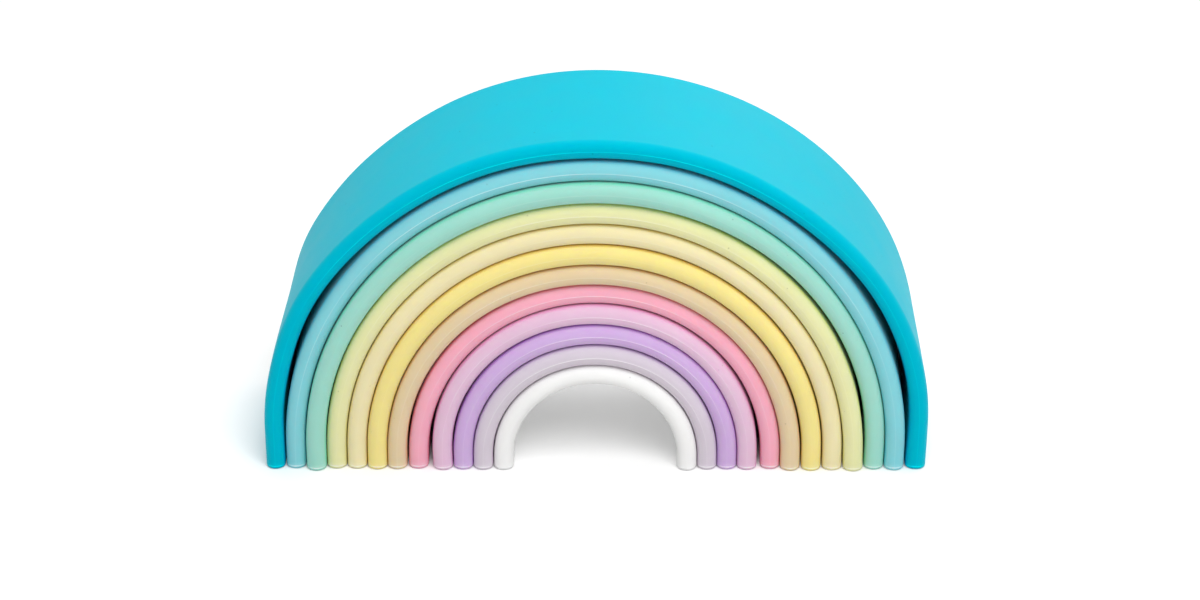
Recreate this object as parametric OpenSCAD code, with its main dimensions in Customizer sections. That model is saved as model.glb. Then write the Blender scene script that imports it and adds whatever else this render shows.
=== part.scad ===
// Rainbow stacker: twelve loose arches of moulded silicone that nest one inside the next.
// Millimetres, +Z up. The nest stands on z = 0, its width runs along X and its front faces -Y.
// Each arch is a flat strip with half-round front and back edges, bent over and set on straight legs.

/* [Arches] */
// Wall thickness of every arch
wall = 7.2; // [5:0.1:9]
// Depth of every arch, from front edge to back edge
depth = 72; // [40:1:100]
// Rounding around the bottom of each foot
foot_fillet = 0.9; // [0.3:0.1:2]

/* [Tunnel] */
// Half of the clear width under the smallest arch
tunnel_half_width = 30.7; // [20:0.1:45]
// Height of the smallest arch's straight legs
leg_height = 4.8; // [3:0.1:12]

/* [Nest] */
// Least gap between an arch and the one around it
nest_gap = 0.3; // [0.3:0.1:2]
// Spare room around an arch that has a full share of it
play = 1; // [0:0.1:2]
// How far forward an arch with a full share of it stands
stagger = 1; // [0:0.1:3]

/* [Largest arch] */
// How far its haunch bends are centred from the centre of its crown bend
haunch_shift = 20; // [5:1:40]

/* [Hidden] */
$fn = 96;

// Overlap by which the solids of one arch are welded together
weld = 1e-6;

// One row per arch, outermost first: name, colour, its share of the play at each side and at the crown,
// its lean within the side room (-1 left to 1 right), and its share of the stagger
ARCHES = [
    ["turquoise_arch", "#2FD5E8", 0.0, 0.0,  0.0, -0.8],
    ["sky_arch",       "#9ADBE2", 0.9, 1.1, -0.3, -0.4],
    ["mint_arch",      "#A9E2D6", 0.1, 0.3,  1.0,  1.4],
    ["lime_arch",      "#E6E9B8", 0.7, 1.5, -0.7,  0.0],
    ["cream_arch",     "#EFE5B8", 0.1, 0.7, -1.0, -0.3],
    ["yellow_arch",    "#F3E190", 0.3, 0.6, -0.7,  0.2],
    ["sand_arch",      "#E9D4AC", 0.0, 0.9,  0.0, -0.2],
    ["pink_arch",      "#EDA6BA", 0.4, 0.5,  1.0, -1.4],
    ["mauve_arch",     "#E3C5DC", 0.9, 0.5, -0.3,  0.0],
    ["purple_arch",    "#CFB2E0", 0.4, 0.6,  1.0,  0.0],
    ["lilac_arch",     "#DAD2DE", 0.0, 1.1,  0.0,  0.3],
    ["white_arch",     "#F4F4F2", 0.1, 0.6,  1.0,  0.3],
];

function is_innermost(k) = k == len(ARCHES) - 1;
function side_room(k) = play * ARCHES[k][2];
function crown_room(k) = play * ARCHES[k][3];
function lean(k) = ARCHES[k][4];
function forward_set(k) = stagger * ARCHES[k][5];

// Half width between the wall middles, built up from the tunnel outwards
function half_width(k) =
    is_innermost(k) ? tunnel_half_width + wall / 2
                    : half_width(k + 1) + wall + nest_gap + side_room(k + 1);

// Height of the wall middle at the crown, built up the same way
function crown_height(k) =
    is_innermost(k) ? leg_height + half_width(k)
                    : crown_height(k + 1) + wall + nest_gap + crown_room(k + 1);

// Height at which a half circle of this width springs from its legs
function springing(k) = crown_height(k) - half_width(k);

// Each arch leans within the room that the arch around it leaves
function sideways(k) = k == 0 ? 0 : sideways(k - 1) + lean(k) * side_room(k);

// Strip cross-section: wall thick, depth long, half-round at both ends
module strip_section() {
    square([wall, depth - wall], center = true);
    for (end = [-1, 1])
        translate([0, end * (depth - wall) / 2])
            circle(d = wall);
}

// Strip bent over a half circle, from +X by way of +Z to -X
module bend(radius) {
    rotate([90, 0, 0])
        rotate_extrude(angle = 180)
            translate([radius, 0])
                strip_section();
}

// Front view of one straight leg, with its bottom corners rounded
module leg_front(height) {
    translate([-wall / 2, foot_fillet])
        square([wall, height - foot_fillet]);
    translate([foot_fillet - wall / 2, 0])
        square([wall - 2 * foot_fillet, height]);
    for (side = [-1, 1])
        translate([side * (wall / 2 - foot_fillet), foot_fillet])
            circle(r = foot_fillet);
}

// Straight leg standing on z = 0, with half-round edges and a rounded foot
module leg(height) {
    rotate([90, 0, 0])
        linear_extrude(height = depth - wall, center = true)
            leg_front(height);
    for (end = [-1, 1])
        translate([0, end * (depth - wall) / 2, 0])
            rotate_extrude()
                intersection() {
                    leg_front(height);
                    square([wall, height]);
                }
}

module legs(k, height) {
    for (side = [-1, 1])
        translate([side * half_width(k), 0, 0])
            leg(height);
}

// Half circle of strip on two straight legs
module plain_arch(k) {
    legs(k, springing(k) + weld);
    translate([0, 0, springing(k)])
        bend(half_width(k));
}

// Space under a 3-in-4 slope that rises to the right and passes the origin at this height
module slope_space(reach, height) {
    left_end = [-4 * reach, height - 3 * reach];
    right_end = [4 * reach, height + 3 * reach];
    rotate([90, 0, 0])
        linear_extrude(height = 2 * depth, center = true)
            polygon([left_end, [right_end.x, left_end.y], right_end]);
}

// Three-centred arch: two tight haunches under a flatter crown, on straight legs.
// The bends meet on a 3-in-4 slope, so their centres lie on one 3-4-5 triangle.
module haunched_arch(k) {
    run = haunch_shift * 4 / 5;
    rise = haunch_shift * 3 / 5;
    haunch_radius = half_width(k) - run;
    crown_radius = haunch_radius + haunch_shift;
    crown_centre = crown_height(k) - crown_radius;
    legs(k, crown_centre + rise + weld);
    translate([0, 0, crown_centre]) {
        difference() {
            bend(crown_radius);
            for (side = [0, 1])
                mirror([side, 0, 0])
                    slope_space(crown_radius, 0);
        }
        for (side = [0, 1])
            mirror([side, 0, 0])
                intersection() {
                    translate([run, 0, rise])
                        bend(haunch_radius);
                    slope_space(haunch_radius, weld);
                }
    }
}

// One arch of the nest, in its colour and at its place
module arch(k) {
    color(ARCHES[k][1])
        translate([sideways(k), -forward_set(k), 0])
            if (k == 0) haunched_arch(k);
            else plain_arch(k);
}

module turquoise_arch() arch(0);
module sky_arch() arch(1);
module mint_arch() arch(2);
module lime_arch() arch(3);
module cream_arch() arch(4);
module yellow_arch() arch(5);
module sand_arch() arch(6);
module pink_arch() arch(7);
module mauve_arch() arch(8);
module purple_arch() arch(9);
module lilac_arch() arch(10);
module white_arch() arch(11);

turquoise_arch();
sky_arch();
mint_arch();
lime_arch();
cream_arch();
yellow_arch();
sand_arch();
pink_arch();
mauve_arch();
purple_arch();
lilac_arch();
white_arch();
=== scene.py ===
"""Looks of a nest of twelve moulded silicone arches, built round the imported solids.

Metres, +Z up, front at -Y.
"""
import math

import bpy
import numpy as np
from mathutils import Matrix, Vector, noise


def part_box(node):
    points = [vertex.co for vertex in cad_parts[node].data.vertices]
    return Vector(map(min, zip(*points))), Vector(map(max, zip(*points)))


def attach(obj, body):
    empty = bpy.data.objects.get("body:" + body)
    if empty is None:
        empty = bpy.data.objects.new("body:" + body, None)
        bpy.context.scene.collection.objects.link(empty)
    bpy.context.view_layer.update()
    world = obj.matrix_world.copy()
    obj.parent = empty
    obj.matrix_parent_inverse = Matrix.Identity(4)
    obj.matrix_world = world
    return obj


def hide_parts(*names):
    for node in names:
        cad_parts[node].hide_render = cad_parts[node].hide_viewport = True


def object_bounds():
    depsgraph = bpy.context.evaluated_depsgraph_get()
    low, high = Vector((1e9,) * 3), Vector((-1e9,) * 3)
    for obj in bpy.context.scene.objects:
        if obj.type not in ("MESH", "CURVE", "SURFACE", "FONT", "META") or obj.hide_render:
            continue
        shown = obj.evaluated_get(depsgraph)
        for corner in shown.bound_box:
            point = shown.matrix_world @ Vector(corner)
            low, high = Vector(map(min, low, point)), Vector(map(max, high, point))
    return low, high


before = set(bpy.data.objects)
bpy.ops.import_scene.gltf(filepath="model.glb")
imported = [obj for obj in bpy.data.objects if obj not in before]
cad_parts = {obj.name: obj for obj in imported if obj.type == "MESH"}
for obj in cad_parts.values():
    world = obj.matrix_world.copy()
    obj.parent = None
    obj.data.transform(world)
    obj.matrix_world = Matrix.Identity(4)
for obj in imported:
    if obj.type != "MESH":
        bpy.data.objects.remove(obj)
cad_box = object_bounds()

MM = 0.001

# Strip that every arch is bent from
WALL = 7.2 * MM
FOOT_FILLET = 0.9 * MM
HAUNCH_SHIFT = 20 * MM

# Raised line that the mould's two halves leave along the middle of the front and back edges
PARTING_HEIGHT = 0.16 * MM
PARTING_WIDTH = 0.15 * MM
# Share of it that is left on the legs, and the length over which it ends at the foot; its painted highlight
# fades the same way and is strongest at the crown, where the strip faces up to the light
LEG_LINE = 0.2
PARTING_FADE = 3 * MM
# It comes and goes along the strip: its usual strength, how much that varies, and over what length
PARTING_STRENGTH = 0.75
PARTING_CHANGE = 0.8
PARTING_LENGTH = 45 * MM

# Line that the mould leaves round the front and back of each foot, which also carries a painted highlight,
# and its height above the floor
FOOT_LINE_HEIGHT = 0.12 * MM
FOOT_LINE_WIDTH = 0.28 * MM
FOOT_LINE_PLACE = 1.3 * MM

# Unevenness of the moulded surface, and how far apart the arches lie in the noise that it comes from
WAVE_DEPTH = 0.04 * MM
WAVE_LENGTH = 22 * MM
NOISE_APART = 7.3

# The soft arches lie against one another: how much fuller each face is, and what share of the
# spare room at the crown they fill
FULLNESS = 0.13 * MM
CROWN_FILL = 0.75
NEST_GAP = 0.3 * MM

# Painted shade in the grooves between arches, a deeper colour: where on the rounded edge it starts, as the
# normal's share across the wall, how far it reaches onto the flat faces, and how strong it is
GROOVE_SHADE_START = 0.82
GROOVE_SHADE_REACH = 0.3 * MM
GROOVE_SHADE_STRENGTH = 0.45

# Height above which a foot's splay and swell no longer show
SPLAY_HEIGHT = 45 * MM

# Mesh steps, with the round edge's crowded towards the parting line by a power
RING_STEP = 1.6 * MM
ROUND_STEPS = 18
ROUND_CROWDING = 1.8
FLAT_STEPS = 14
FILLET_STEPS = 6
FOOT_LINE_STEPS = 8
# Half width of the stretch that is stepped finely for the foot line, in widths of the line
FOOT_LINE_SPAN = 1.4


class Arch:
    """Looks of one arch: colour, share of the parting line's height and of its painted highlight, and how
    the soft strip has bent.

    Each bend is an angle along the arch, from 0 at the left foot to 180 at the right one, how far it
    spreads, both in degrees, and how far it pushes the front and the back edge outwards, in millimetres.
    Splay is how far the left and the right foot stand out, forward how far they stand forward, and swell
    how much thicker they are on their inner side, all in millimetres.
    """

    def __init__(self, colour, parting, bends=(), splay=(0, 0), forward=(0, 0), swell=(0, 0)):
        self.colour = colour
        self.parting = parting
        self.bends = bends
        self.splay = [v * MM for v in splay]
        self.forward = [v * MM for v in forward]
        self.swell = [v * MM for v in swell]

    def push(self, angle):
        """How far the bends push the front and the back edge outwards at an angle along the arch."""
        front = 0.0
        back = 0.0
        for middle, spread, at_front, at_back in self.bends:
            share = math.exp(-((angle - middle) / spread) ** 2)
            front += at_front * share * MM
            back += at_back * share * MM
        return front, back


# Outermost first
ARCHES = {
    "turquoise_arch": Arch(
        "#00B6CC", 1.0, forward=(0.8, -0.6), splay=(-0.3, -0.7), swell=(0.0, 0.6),
        bends=[(14, 11, -0.6, -2.3), (33, 10, 0.0, -0.8), (50, 16, -0.6, -1.0), (90, 14, -0.3, 0.0),
               (128, 17, -1.0, 0.2), (155, 12, -0.2, 0.0), (168, 12, 0.0, -0.5)]),
    "sky_arch": Arch(
        "#89CFD7", 1.0, splay=(0.0, -0.4), bends=[(7, 3.5, 0.0, 0.4), (166, 10, 0.0, 1.6)]),
    "mint_arch": Arch("#A1D7CA", 0.15, forward=(0.0, -2.4), splay=(0.0, -0.5)),
    "lime_arch": Arch(
        "#E3E2B0", 0.5, forward=(-0.4, 0.5), splay=(0.2, 0.4), bends=[(164, 14, 0.0, 0.8)]),
    "cream_arch": Arch("#E9DFB5", 0.2, bends=[(170, 25, 0.2, 0.2)]),
    "yellow_arch": Arch("#EDDF95", 0.2, bends=[(170, 25, 0.4, 0.4)]),
    "sand_arch": Arch("#DFCCA9", 0.6, forward=(0.2, 0.4)),
    "pink_arch": Arch("#EFAFC1", 0.7, forward=(0.8, 0.3), splay=(0.4, 0.0)),
    "mauve_arch": Arch(
        "#E0C0D6", 0.7, forward=(0.5, -0.4), splay=(-0.7, 0.0),
        bends=[(15, 14, 0.0, 0.3), (165, 14, 0.0, 0.6)]),
    "purple_arch": Arch("#CEB1DC", 1.0, forward=(0.1, -0.7)),
    "lilac_arch": Arch("#D4CBD5", 0.9, forward=(0.0, -0.8)),
    "white_arch": Arch("#EFEFEE", 0.1),
}


# Strip geometry

def bend_segments(half_width, crown_height, haunch_shift):
    """Lengths and radii of the mid-line from the left foot to the right one.

    A straight leg has no radius. The bends meet on a 3-in-4 slope.
    """
    slope = math.atan2(3, 4)
    haunch_radius = half_width - haunch_shift * math.cos(slope)
    crown_radius = haunch_radius + haunch_shift
    leg = crown_height - crown_radius + haunch_shift * math.sin(slope)
    haunch = (haunch_radius * slope, haunch_radius)
    crown = (crown_radius * (math.pi - 2 * slope), crown_radius)
    return [(leg, None), haunch, crown, haunch, (leg, None)]


def walk(segments, start_x, step):
    """Points, headings and lengths along the mid-line, which climbs from the left foot and turns right."""
    point = np.array([start_x, 0.0])
    heading = math.pi / 2
    travelled = 0.0
    points = [point]
    headings = [heading]
    lengths = [travelled]
    for length, radius in segments:
        count = max(3, math.ceil(length / step))
        for i in range(1, count + 1):
            s = length * i / count
            if radius is None:
                here = point + s * np.array([math.cos(heading), math.sin(heading)])
                turned = heading
            else:
                centre = point + radius * np.array([math.sin(heading), -math.cos(heading)])
                turned = heading - s / radius
                here = centre - radius * np.array([math.sin(turned), -math.cos(turned)])
            points.append(here)
            headings.append(turned)
            lengths.append(travelled + s)
        point = points[-1]
        heading = headings[-1]
        travelled += length
    return np.array(points), np.array(headings), np.array(lengths)


def strip_outline(depth):
    """Outline of the strip's section, one row to a point.

    A row holds the offset across the wall, the place along the depth, the normal across and along, and
    the share of the parting line.
    """
    spread = np.linspace(-1, 1, 2 * ROUND_STEPS + 1)
    angles = math.pi / 2 * np.sign(spread) * np.abs(spread) ** ROUND_CROWDING
    reach = (depth - WALL) / 2
    rim = 1 - GROOVE_SHADE_REACH / reach
    flat = np.concatenate([[-rim], np.linspace(-1, 1, FLAT_STEPS + 1)[1:-1], [rim]])
    radius = WALL / 2
    rows = []
    for end in (-1, 1):
        for angle in end * angles:
            across = math.sin(angle)
            along = end * math.cos(angle)
            share = math.exp(-(angle * radius / PARTING_WIDTH) ** 2)
            rows.append((radius * across, end * reach + radius * along, across, along, share))
        for t in flat:
            rows.append((end * radius, -end * t * reach, end, 0.0, 0.0))
    return np.array(rows)


def smooth_rise(t):
    """0 below 0, 1 above 1, and a smooth rise between."""
    t = min(1.0, max(0.0, t))
    return t * t * (3 - 2 * t)


def crown_fill(name):
    """How far the outer and the inner face of an arch swell towards its neighbours at the crown."""
    names = list(ARCHES)
    place = names.index(name)
    fills = []
    for outer in (place - 1, place):
        if outer < 1 or outer + 1 == len(names):
            fills.append(0.0)
            continue
        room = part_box(names[outer])[1].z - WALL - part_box(names[outer + 1])[1].z
        fills.append(CROWN_FILL * max(0.0, room - NEST_GAP) / 2)
    return fills


def groove_shade_shares(name, outline):
    """Share of the painted shade in the grooves, a darker and more saturated colour, at each point of an
    outline.

    A face without a neighbour has none.
    """
    names = list(ARCHES)
    reach = outline[:, 1].max() - WALL / 2
    shares = []
    for _, along, normal_across, _, _ in outline:
        alone = name == (names[0] if normal_across > 0 else names[-1])
        flank = smooth_rise((abs(normal_across) - GROOVE_SHADE_START) / (1 - GROOVE_SHADE_START))
        inward = smooth_rise((reach - abs(along)) / GROOVE_SHADE_REACH)
        shares.append(0.0 if alone else GROOVE_SHADE_STRENGTH * flank * (1 - inward))
    return np.array(shares)


def fillet_stations(lengths, total):
    """Places along the strip for its rings, each with the inset of the foot fillet there."""
    turns = np.linspace(math.pi / 2, 0, FILLET_STEPS + 1)
    foot = [(FOOT_FILLET * (1 - math.sin(t)), FOOT_FILLET * (1 - math.cos(t))) for t in turns]
    across_line = np.linspace(-FOOT_LINE_SPAN, FOOT_LINE_SPAN, FOOT_LINE_STEPS + 1)
    line = [(FOOT_LINE_PLACE + FOOT_LINE_WIDTH * t, 0.0) for t in across_line]
    start = FOOT_LINE_PLACE + 2 * FOOT_LINE_WIDTH
    body = [(s, 0.0) for s in lengths if start < s < total - start]
    left = sorted(foot) + line
    right = [(total - s, inset) for s, inset in reversed(left)]
    return left + body + right


def rings_of(name, arch):
    """Rings of points along one arch and, at each point, the share of the painted highlight on the mould's
    raised marks.

    Also the rings' places along the strip, and the strip's outline.
    """
    low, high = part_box(name)
    middle = (low + high) / 2
    half_width = (high.x - low.x - WALL) / 2
    haunch_shift = HAUNCH_SHIFT if name == "turquoise_arch" else 0.0
    segments = bend_segments(half_width, high.z - WALL / 2, haunch_shift)
    points, headings, lengths = walk(segments, middle.x - half_width, RING_STEP)
    parting = PARTING_HEIGHT * arch.parting
    outline = strip_outline(high.y - low.y - 2 * max(parting, FOOT_LINE_HEIGHT))
    fill_outside, fill_inside = crown_fill(name)
    fullness = 0.0 if haunch_shift else FULLNESS
    total = lengths[-1]
    seed = Vector((0, 0, NOISE_APART * list(ARCHES).index(name)))
    stations = fillet_stations(lengths, total)
    rings = []
    line_highlights = []
    for s, inset in stations:
        x = np.interp(s, lengths, points[:, 0])
        z = np.interp(s, lengths, points[:, 1])
        heading = np.interp(s, lengths, headings)
        outward = np.array([-math.sin(heading), math.cos(heading)])
        side = 0 if s < total / 2 else 1
        slope = math.degrees(math.asin(max(-1.0, min(1.0, outward[1]))))
        push_front, push_back = arch.push(slope if side == 0 else 180 - slope)
        low_down = max(0.0, 1 - z / SPLAY_HEIGHT) ** 2
        splay = arch.splay[side] * low_down * (2 * side - 1)
        outside = fullness + fill_outside * outward[1] ** 2
        inside = fullness + fill_inside * outward[1] ** 2 + arch.swell[side] * low_down
        forward = arch.forward[side] * ((x - middle.x) / half_width) ** 2
        from_foot = min(s, total - s)
        # The parting line fades at the feet and where the strip faces sideways; so does its painted
        # highlight, which is strongest where the strip faces up
        fade = min(1.0, from_foot / PARTING_FADE) * (LEG_LINE + (1 - LEG_LINE) * outward[1] ** 2)
        change = PARTING_CHANGE * noise.noise(Vector((s / PARTING_LENGTH, 0, 0)) + seed)
        line = fade * smooth_rise(PARTING_STRENGTH + change)
        foot_line = math.exp(-((from_foot - FOOT_LINE_PLACE) / FOOT_LINE_WIDTH) ** 2)
        ring = []
        for across, along, normal_across, normal_along, share in outline:
            place = Vector((x + across * outward[0], along, z + across * outward[1])) / WAVE_LENGTH
            wave = WAVE_DEPTH * (noise.noise(place + seed) - 1)
            lift = parting * share * line + FOOT_LINE_HEIGHT * foot_line * normal_along ** 2 + wave - inset
            fuller = outside if normal_across > 0 else inside
            t = smooth_rise(0.5 + along / (high.y - low.y))
            a = across + (lift + fuller) * normal_across + (1 - t) * push_front + t * push_back
            y = middle.y + along + lift * normal_along - forward
            ring.append((x + a * outward[0] + splay, y, z + a * outward[1]))
        rings.append(ring)
        # Share of the painted highlight on the parting line and the foot line
        line_highlights.append(line * arch.parting * outline[:, 4] + foot_line * outline[:, 3] ** 2)
    return np.array(rings), np.array(line_highlights), np.array([s for s, _ in stations]), outline


def arch_piece(name, arch):
    """One arch as a closed, smooth mesh with texture coordinates along and round the strip."""
    rings, line_highlights, stations, outline = rings_of(name, arch)
    count, around = rings.shape[:2]
    faces = []
    for i in range(count - 1):
        for j in range(around):
            k = (j + 1) % around
            faces.append((i * around + j, i * around + k, (i + 1) * around + k, (i + 1) * around + j))
    faces.append(tuple(range(around - 1, -1, -1)))
    faces.append(tuple((count - 1) * around + j for j in range(around)))
    mesh = bpy.data.meshes.new(name + "_moulding")
    mesh.from_pydata(rings.reshape(-1, 3).tolist(), [], faces)
    mesh.validate()
    mesh.shade_smooth()
    # Painted highlight on the mould's lines, as a share on each point
    paler = mesh.attributes.new("parting", "FLOAT", "POINT")
    paler.data.foreach_set("value", line_highlights.ravel())
    # Share of the painted shade in the grooves at each point
    deeper = mesh.attributes.new("groove_shade", "FLOAT", "POINT")
    deeper.data.foreach_set("value", np.tile(groove_shade_shares(name, outline), count))
    steps = np.linalg.norm(np.diff(outline[:, :2], axis=0, append=outline[:1, :2]), axis=1)
    girth = np.concatenate([[0.0], np.cumsum(steps)])
    layer = mesh.uv_layers.new(name="strip")
    for polygon in mesh.polygons[:-2]:
        column = polygon.index % around
        row = polygon.index // around
        corners = ((row, column), (row, column + 1), (row + 1, column + 1), (row + 1, column))
        for loop, (r, c) in zip(polygon.loop_indices, corners):
            layer.data[loop].uv = (stations[r], girth[c])
    piece = bpy.data.objects.new(name + "_moulding", mesh)
    bpy.context.scene.collection.objects.link(piece)
    return piece


# Shader nodes

def add_node(tree, kind, output, values, **settings):
    """Adds a node, feeds its inputs with sockets or plain values, and gives back one of its outputs."""
    node = tree.nodes.new(kind)
    for name, value in settings.items():
        setattr(node, name, value)
    for key, value in values.items():
        if isinstance(value, bpy.types.NodeSocket):
            tree.links.new(value, node.inputs[key])
        else:
            node.inputs[key].default_value = value
    return node.outputs[output]


def maths(tree, operation, *values):
    """Output of a maths node."""
    return add_node(tree, "ShaderNodeMath", "Value", dict(enumerate(values)), operation=operation)


def colour_mix(tree, factor, first, second):
    """Output of a mix of two colours."""
    values = {"Factor": factor, "A": first, "B": second}
    return add_node(tree, "ShaderNodeMix", "Result", values, data_type="RGBA")


def between(tree, value, first, last, start=0.0, end=1.0, kind="LINEAR"):
    """Output that goes from first to last while a value goes from start to end."""
    values = {"Value": value, "From Min": start, "From Max": end, "To Min": first, "To Max": last}
    return add_node(tree, "ShaderNodeMapRange", "Result", values, interpolation_type=kind)


def seen_plainly(tree):
    """Socket that is 1 for what the camera sees, also by way of gloss or glass.

    It is 0 for the light that falls on the object.
    """
    path = tree.nodes.new("ShaderNodeLightPath")
    seen = path.outputs["Is Camera Ray"]
    for ray in ("Is Glossy Ray", "Is Transmission Ray"):
        seen = maths(tree, "MAXIMUM", seen, path.outputs[ray])
    return seen


# Silicone

SILICONE_IOR = 1.42
SHEEN = 0.12
ROUGHNESS = (0.42, 0.56)
# Share of the light that scatters in the rubber, and how deep
SCATTER_SHARE = 0.7
SCATTER_DEPTH = 3.0 * MM
# Mottling: scale, detail, and the darkest and palest share of the colour
MOTTLE_SCALE = 70
MOTTLE_DETAIL = 4
MOTTLE_SHADES = (0.96, 1.03)
# Specks: cells to the metre, size as a share of a cell, and shade
SPECK_SCALE = 140
SPECK_SIZE = 0.045
SPECK_SHADE = 0.7
# Power of the colour's proportions in the painted groove shade, which stands in for light going back and
# forth between two arches
GROOVE_SHADE_POWER = 4
# Power of the colour on the thin lines of the mould, which makes them paler as a painted highlight
LINE_HIGHLIGHT_POWER = 0.32
# Mould marks along and round the strip, grain, and the bump that both make
MARK_SCALE = (40, 2600, 1)
GRAIN_SCALE = 2200
BUMP_STRENGTH = 0.12
BUMP_HEIGHT = 0.05 * MM


def linear(code):
    """Linear red, green and blue of a hex code."""
    parts = [int(code[i:i + 2], 16) / 255 for i in (1, 3, 5)]
    return [c / 12.92 if c <= 0.04045 else ((c + 0.055) / 1.055) ** 2.4 for c in parts]


def opaque(parts):
    """Colour of its red, green and blue, none of them above 1."""
    return [min(1.0, c) for c in parts] + [1.0]


def silicone(name, code):
    """Satin silicone: faint mottling and specks, a fine grain, and mould marks drawn out along the strip."""
    material = bpy.data.materials.new(name)
    material.use_nodes = True
    tree = material.node_tree
    colour = linear(code)
    shader = tree.nodes["Principled BSDF"]
    shader.inputs["IOR"].default_value = SILICONE_IOR
    shader.inputs["Specular IOR Level"].default_value = SHEEN
    shader.inputs["Specular Tint"].default_value = opaque(colour)
    shader.inputs["Subsurface Weight"].default_value = SCATTER_SHARE
    shader.inputs["Subsurface Radius"].default_value = [c ** 2 for c in colour]
    shader.inputs["Subsurface Scale"].default_value = SCATTER_DEPTH

    place = tree.nodes.new("ShaderNodeTexCoord").outputs["Object"]
    mottling = {"Vector": place, "Scale": MOTTLE_SCALE, "Detail": MOTTLE_DETAIL}
    mottle = add_node(tree, "ShaderNodeTexNoise", "Fac", mottling)
    darkest, palest = [opaque([c * shade for c in colour]) for shade in MOTTLE_SHADES]
    base = colour_mix(tree, mottle, darkest, palest)

    # Tiny dark specks in some cells of a scatter
    scatter = tree.nodes.new("ShaderNodeTexVoronoi")
    scatter.inputs["Scale"].default_value = SPECK_SCALE
    tree.links.new(place, scatter.inputs["Vector"])
    near = maths(tree, "LESS_THAN", scatter.outputs["Distance"], SPECK_SIZE)
    chance = add_node(tree, "ShaderNodeSeparateColor", "Red", {"Color": scatter.outputs["Color"]})
    speck = opaque([c * SPECK_SHADE for c in colour])
    base = colour_mix(tree, maths(tree, "MULTIPLY", near, chance), base, speck)

    # Painted shade in the grooves: a darker, more saturated colour where two arches lie against each other
    groove_shade = add_node(tree, "ShaderNodeAttribute", "Fac", {}, attribute_name="groove_shade")
    strongest = max(colour)
    groove_shade_colour = opaque([strongest * (c / strongest) ** GROOVE_SHADE_POWER for c in colour])
    base = colour_mix(tree, groove_shade, base, groove_shade_colour)

    # Painted highlight: paler colour on the lines of the mould, strongest where they face up
    line = add_node(tree, "ShaderNodeAttribute", "Fac", {}, attribute_name="parting")
    base = colour_mix(tree, line, base, opaque([c ** LINE_HIGHLIGHT_POWER for c in colour]))
    tree.links.new(base, shader.inputs["Base Color"])
    tree.links.new(between(tree, mottle, *ROUGHNESS), shader.inputs["Roughness"])

    # Mould marks and grain
    strip = add_node(tree, "ShaderNodeUVMap", "UV", {}, uv_map="strip")
    drawn_out = add_node(tree, "ShaderNodeMapping", "Vector", {"Vector": strip, "Scale": MARK_SCALE})
    marking = {"Vector": drawn_out, "Scale": 1}
    marks = add_node(tree, "ShaderNodeTexNoise", "Fac", marking, noise_dimensions="2D")
    grain = add_node(tree, "ShaderNodeTexNoise", "Fac", {"Vector": place, "Scale": GRAIN_SCALE})
    height = maths(tree, "ADD", marks, grain)
    bumping = {"Height": height, "Strength": BUMP_STRENGTH, "Distance": BUMP_HEIGHT}
    tree.links.new(add_node(tree, "ShaderNodeBump", "Normal", bumping), shader.inputs["Normal"])
    return material


# Pieces

for node, arch in ARCHES.items():
    piece = arch_piece(node, arch)
    slot = node.replace("_arch", "_silicone")
    piece.data.materials.append(silicone(slot, arch.colour))
    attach(piece, node)
    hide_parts(node)


# Floor

FLOOR_SIZE = 8.0
FLOOR_LEVEL = -0.02 * MM
FLOOR_SHADE = 0.72
# Where the floor is seen it is paler, with white added in the open and in the tunnel: the floor under and
# round the nest, left without it, is a painted shadow, and the white in the tunnel is painted light on its
# shadow
FLOOR_SEEN = 0.9
OPEN_LIFT = 0.12
TUNNEL_PAINTED_LIGHT = 0.17
# Stretches over which that white comes and goes
NEST_BORDER = 14 * MM
NEST_BEHIND = 200 * MM
TUNNEL_BORDER = 4 * MM
TUNNEL_END = 60 * MM


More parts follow.
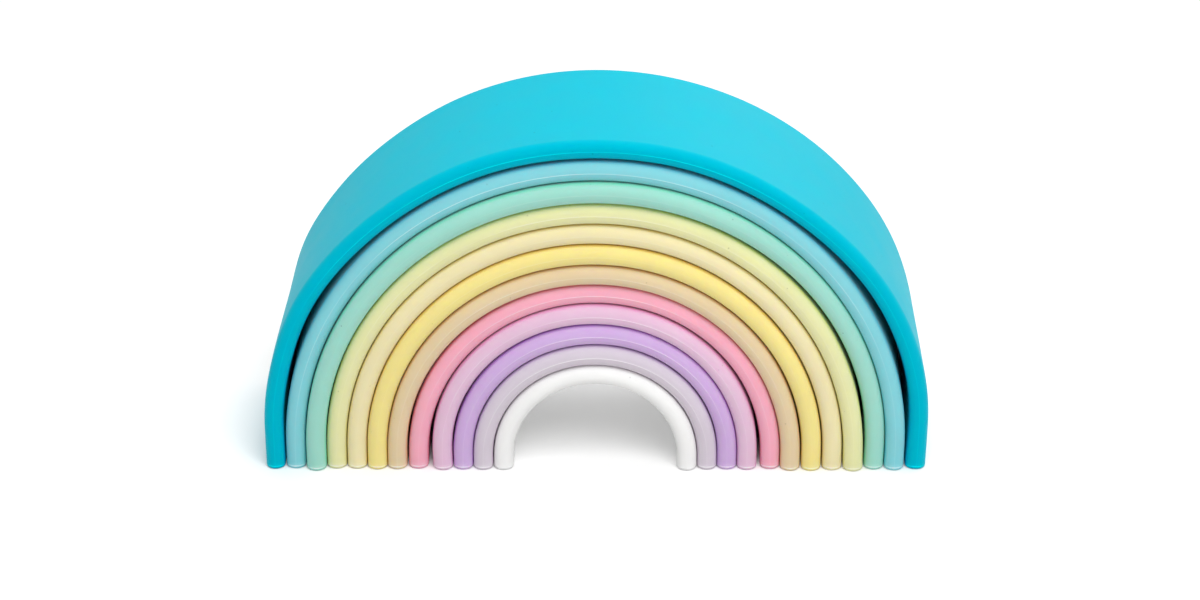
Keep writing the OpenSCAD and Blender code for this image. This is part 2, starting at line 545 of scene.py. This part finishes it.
def white_floor():
    """White floor that keeps the object's shadow, with a painted shadow under and round the nest and painted
    light in the tunnel.
    """
    material = bpy.data.materials.new("white_floor")
    material.use_nodes = True
    tree = material.node_tree
    tree.nodes.clear()
    seen = seen_plainly(tree)
    shade = between(tree, seen, FLOOR_SHADE, FLOOR_SEEN)
    diffuse = add_node(tree, "ShaderNodeBsdfDiffuse", "BSDF", {"Color": shade})

    # Distance outside the nest's footprint, which goes over slowly into the open behind it; inside it the
    # floor gets no added white, a painted shadow
    half_x, half_y = cad_box[1][:2]
    place = tree.nodes.new("ShaderNodeTexCoord").outputs["Object"]
    axes = tree.nodes.new("ShaderNodeSeparateXYZ")
    tree.links.new(place, axes.inputs["Vector"])
    aside = maths(tree, "ABSOLUTE", axes.outputs["X"])
    beside = maths(tree, "SUBTRACT", aside, half_x)
    before = maths(tree, "MULTIPLY_ADD", axes.outputs["Y"], -1.0, -half_y)
    slowness = NEST_BORDER / NEST_BEHIND
    behind = maths(tree, "MULTIPLY_ADD", axes.outputs["Y"], slowness, -slowness * half_y - NEST_BORDER)
    distance = maths(tree, "MAXIMUM", maths(tree, "MAXIMUM", beside, before), behind)
    outside = between(tree, distance, 0.0, 1.0, start=-NEST_BORDER, end=0.0, kind="SMOOTHSTEP")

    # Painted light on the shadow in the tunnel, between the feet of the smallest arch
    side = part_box("white_arch")[1].x - WALL
    tunnel = between(tree, aside, TUNNEL_PAINTED_LIGHT, 0.0, start=side, end=side + TUNNEL_BORDER)
    tunnel_end = between(tree, axes.outputs["Y"], 1.0, 0.0, start=half_y, end=half_y + TUNNEL_END,
                         kind="SMOOTHSTEP")
    lifts = {"Factor": outside, "A": maths(tree, "MULTIPLY", tunnel, tunnel_end), "B": OPEN_LIFT}
    lift = add_node(tree, "ShaderNodeMix", "Result", lifts, data_type="FLOAT")

    added = maths(tree, "MULTIPLY", seen, lift)
    glow = add_node(tree, "ShaderNodeEmission", "Emission", {"Strength": added})
    surface = add_node(tree, "ShaderNodeAddShader", "Shader", {0: diffuse, 1: glow})
    out = tree.nodes.new("ShaderNodeOutputMaterial")
    tree.links.new(surface, out.inputs["Surface"])
    return material


floor_mesh = bpy.data.meshes.new("floor")
reach = FLOOR_SIZE / 2
corners = [(x * reach, y * reach, FLOOR_LEVEL) for x, y in ((-1, -1), (1, -1), (1, 1), (-1, 1))]
floor_mesh.from_pydata(corners, [], [(0, 1, 2, 3)])
floor_mesh.materials.append(white_floor())
floor = bpy.data.objects.new("floor", floor_mesh)
bpy.context.scene.collection.objects.link(floor)


# Light

WORLD_LIGHT = 0.55
SOFTBOX_SIZE = 0.9
SOFTBOX_AIM = Vector((0, 0, 50 * MM))

world = bpy.data.worlds.new("studio")
bpy.context.scene.world = world
world.use_nodes = True
background = world.node_tree.nodes["Background"]
background.inputs["Color"].default_value = (1, 1, 1, 1)
strength = between(world.node_tree, seen_plainly(world.node_tree), WORLD_LIGHT, 1.0)
world.node_tree.links.new(strength, background.inputs["Strength"])


def softbox(name, place, power):
    """Square area light that faces the middle of the nest."""
    lamp = bpy.data.lights.new(name, "AREA")
    lamp.size = SOFTBOX_SIZE
    lamp.energy = power
    holder = bpy.data.objects.new(name, lamp)
    holder.location = place
    holder.visible_camera = False
    aim = SOFTBOX_AIM - Vector(place)
    holder.rotation_mode = "QUATERNION"
    holder.rotation_quaternion = aim.to_track_quat("-Z", "Y")
    bpy.context.scene.collection.objects.link(holder)


softbox("key_softbox", place=(0.26, -0.85, 1.34), power=15.9)
softbox("overhead_softbox", place=(0.25, 0.3, 1.4), power=4.5)
softbox("back_softbox", place=(0.6, 1.35, 0.5), power=1.5)


# Camera

LENS = 105.0
SENSOR_WIDTH = 36.0
ELEVATION = math.radians(25.98)
AZIMUTH = math.radians(0.41)
DISTANCE = 1.321
TARGET = Vector((1.18 * MM, 0, 53.7 * MM))

camera = bpy.data.cameras.new("camera")
camera.lens = LENS
camera.sensor_width = SENSOR_WIDTH
level_reach = math.cos(ELEVATION)
back = Vector((math.sin(AZIMUTH) * level_reach, -math.cos(AZIMUTH) * level_reach, math.sin(ELEVATION)))
viewer = bpy.data.objects.new("camera", camera)
viewer.location = TARGET + DISTANCE * back
viewer.rotation_mode = "QUATERNION"
viewer.rotation_quaternion = (-back).to_track_quat("-Z", "Y")
bpy.context.scene.collection.objects.link(viewer)
bpy.context.scene.camera = viewer
bpy.context.scene.view_settings.view_transform = "Standard"
